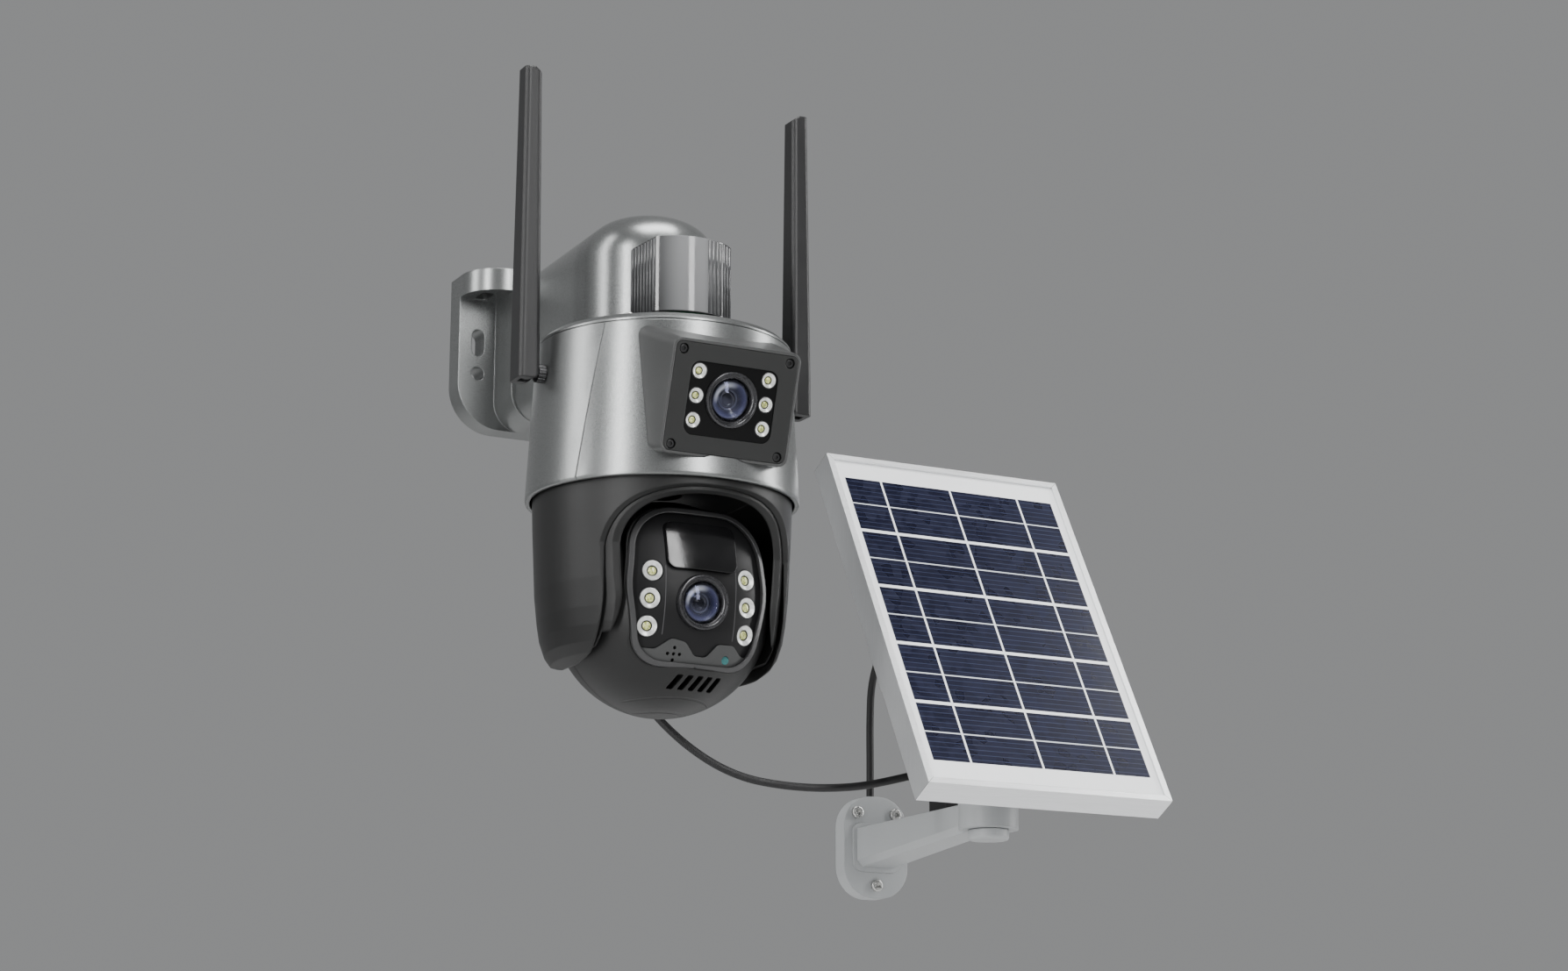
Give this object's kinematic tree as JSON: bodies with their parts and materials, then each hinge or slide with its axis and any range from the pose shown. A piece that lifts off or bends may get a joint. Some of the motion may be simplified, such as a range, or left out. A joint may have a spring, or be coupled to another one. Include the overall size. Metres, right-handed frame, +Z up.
{
  "type": "security camera",
  "caption": "Wall-mounted pan-tilt security camera with a fixed camera above it, folding antennas and a tilting solar panel on its own bracket.",
  "frame": {"origin": "centre of the camera bracket's back face, on the wall", "axes": "+Z up, wall plane at Y = 0 with the kit in front of it towards -Y, +X to the right as seen from the front"},
  "size_m": [0.3225, 0.2116, 0.355],
  "materials": {
    "silver_cover": "silver-grey satin paint over plastic",
    "steel_screw": "bright steel",
    "black_screw": "black zinc",
    "black_moulding": "plain moulded",
    "motor_can": "pressed steel",
    "battery_sleeve": "shrink sleeve",
    "smoky_lens": "smoke-tinted clear plastic with ribs",
    "circuit_board": "solder mask",
    "grey_block": "satin grey",
    "dark_frame": "satin charcoal",
    "black_glass": "gloss black window",
    "lamp_cup": "bright reflector",
    "lens_black": "anodised rings",
    "lens_glass": "coated glass",
    "black_nickel": "black nickel on brass",
    "antenna_black": "satin black",
    "head_black": "satin black with a fine grain",
    "gear_white": "natural acetal",
    "bezel_grey": "satin charcoal",
    "face_black": "smoked window",
    "pir_black": "dark infrared-clear window",
    "sensor_grey": "satin grey",
    "teal_sensor": "tinted window",
    "pale_moulding": "light grey moulded",
    "panel_aluminium": "clear anodised",
    "solar_glass": "cells under a clear sheet",
    "junction_black": "moulded",
    "gland_black": "moulded",
    "cord_black": "smooth jacket"
  },
  "bodies": {
    "wall_unit": {"wall_bracket": "silver_cover", "bracket_arm": "silver_cover", "shoulder_cap": "silver_cover", "cover_screws": "steel_screw", "housing_front": "silver_cover", "housing_rear": "silver_cover", "housing_floor": "black_moulding", "pan_motor": "motor_can", "battery_cells": "battery_sleeve", "battery_tray": "black_moulding", "alarm_lamp_cover": "smoky_lens", "alarm_lamp_board": "circuit_board", "lens_block_shell": "grey_block", "lens_block_frame": "dark_frame", "lens_block_screws": "black_screw", "lens_block_window": "black_glass", "fixed_led_cups": "lamp_cup", "fixed_lens_barrel": "lens_black", "fixed_lens_glass": "lens_glass", "circuit_boards": "circuit_board", "antenna_connectors": "black_nickel", "panel_arm": "pale_moulding", "panel_wall_screws": "steel_screw", "camera_gland": "gland_black", "camera_lead": "cord_black", "arm_terminal_box": "gland_black", "panel_lead": "cord_black"},
    "pan_drive": {"pan_pinion": "gear_white"},
    "pan_head": {"yoke_cover": "head_black", "yoke_frame": "head_black", "hub_retainer": "gear_white", "pan_gear": "gear_white", "tilt_motor": "motor_can"},
    "tilt_drive": {"tilt_pinion": "gear_white"},
    "camera_ball": {"ball_front_shell": "head_black", "ball_rear_shell": "head_black", "tilt_trunnions": "head_black", "tilt_gear": "gear_white", "face_bezel": "bezel_grey", "face_window": "face_black", "pir_window": "pir_black", "sensor_plate": "sensor_grey", "light_sensor": "teal_sensor", "ptz_led_cups": "lamp_cup", "ptz_lens_barrel": "lens_black", "ptz_lens_glass": "lens_glass", "ptz_camera_board": "circuit_board", "speaker": "motor_can"},
    "right_antenna_base": {"right_antenna_knuckle": "antenna_black"},
    "right_antenna": {"right_antenna_blade": "antenna_black"},
    "left_antenna_base": {"left_antenna_knuckle": "antenna_black"},
    "left_antenna": {"left_antenna_blade": "antenna_black"},
    "panel_holder": {"panel_swivel": "pale_moulding", "pivot_cap": "pale_moulding", "panel_tail": "cord_black"},
    "panel": {"panel_frame": "panel_aluminium", "solar_laminate": "solar_glass", "panel_bracket": "panel_aluminium", "tilt_bolt": "steel_screw", "junction_box": "junction_black"}
  },
  "joints": [
    {"name": "head_pan", "type": "hinge", "parent": "wall_unit", "child": "pan_head", "pos_m": [0, -0.135, -0.09], "axis": [0, 0, 1], "range_deg": [-175, 175]},
    {"name": "head_tilt", "type": "hinge", "parent": "pan_head", "child": "camera_ball", "pos_m": [0, -0.135, -0.147], "axis": [1, 0, 0], "range_deg": [-12, 83]},
    {"name": "pan_drive_turn", "type": "hinge", "parent": "wall_unit", "child": "pan_drive", "pos_m": [0, -0.1062, -0.088], "axis": [0, 0, 1], "range_deg": [-880, 880]},
    {"name": "tilt_drive_turn", "type": "hinge", "parent": "pan_head", "child": "tilt_drive", "pos_m": [-0.0465, -0.135, -0.1278], "axis": [1, 0, 0], "range_deg": [-252, 38]},
    {"name": "right_antenna_swivel", "type": "hinge", "parent": "wall_unit", "child": "right_antenna_base", "pos_m": [0.068, -0.135, -0.0443], "axis": [1, 0, 0], "range_deg": [-55, 150]},
    {"name": "right_antenna_fold", "type": "hinge", "parent": "right_antenna_base", "child": "right_antenna", "pos_m": [0.068, -0.135, -0.0443], "axis": [0, 1, 0], "range_deg": [0, 90]},
    {"name": "left_antenna_swivel", "type": "hinge", "parent": "wall_unit", "child": "left_antenna_base", "pos_m": [-0.068, -0.135, -0.0443], "axis": [1, 0, 0], "range_deg": [-55, 150]},
    {"name": "left_antenna_fold", "type": "hinge", "parent": "left_antenna_base", "child": "left_antenna", "pos_m": [-0.068, -0.135, -0.0443], "axis": [0, -1, 0], "range_deg": [0, 90]},
    {"name": "panel_pan", "type": "hinge", "parent": "wall_unit", "child": "panel_holder", "pos_m": [0.182, -0.1175, -0.226], "axis": [0, 0, 1], "range_deg": [-30, 30], "deforming": ["panel_lead"]},
    {"name": "panel_tilt", "type": "hinge", "parent": "panel_holder", "child": "panel", "pos_m": [0.182, -0.1175, -0.165], "axis": [-1, 0, 0], "range_deg": [-18, 20], "deforming": ["panel_tail"]}
  ],
  "couplings": [
    {"joint": "pan_drive_turn", "follows": "head_pan", "ratio": -5},
    {"joint": "tilt_drive_turn", "follows": "head_tilt", "ratio": -3}
  ]
}
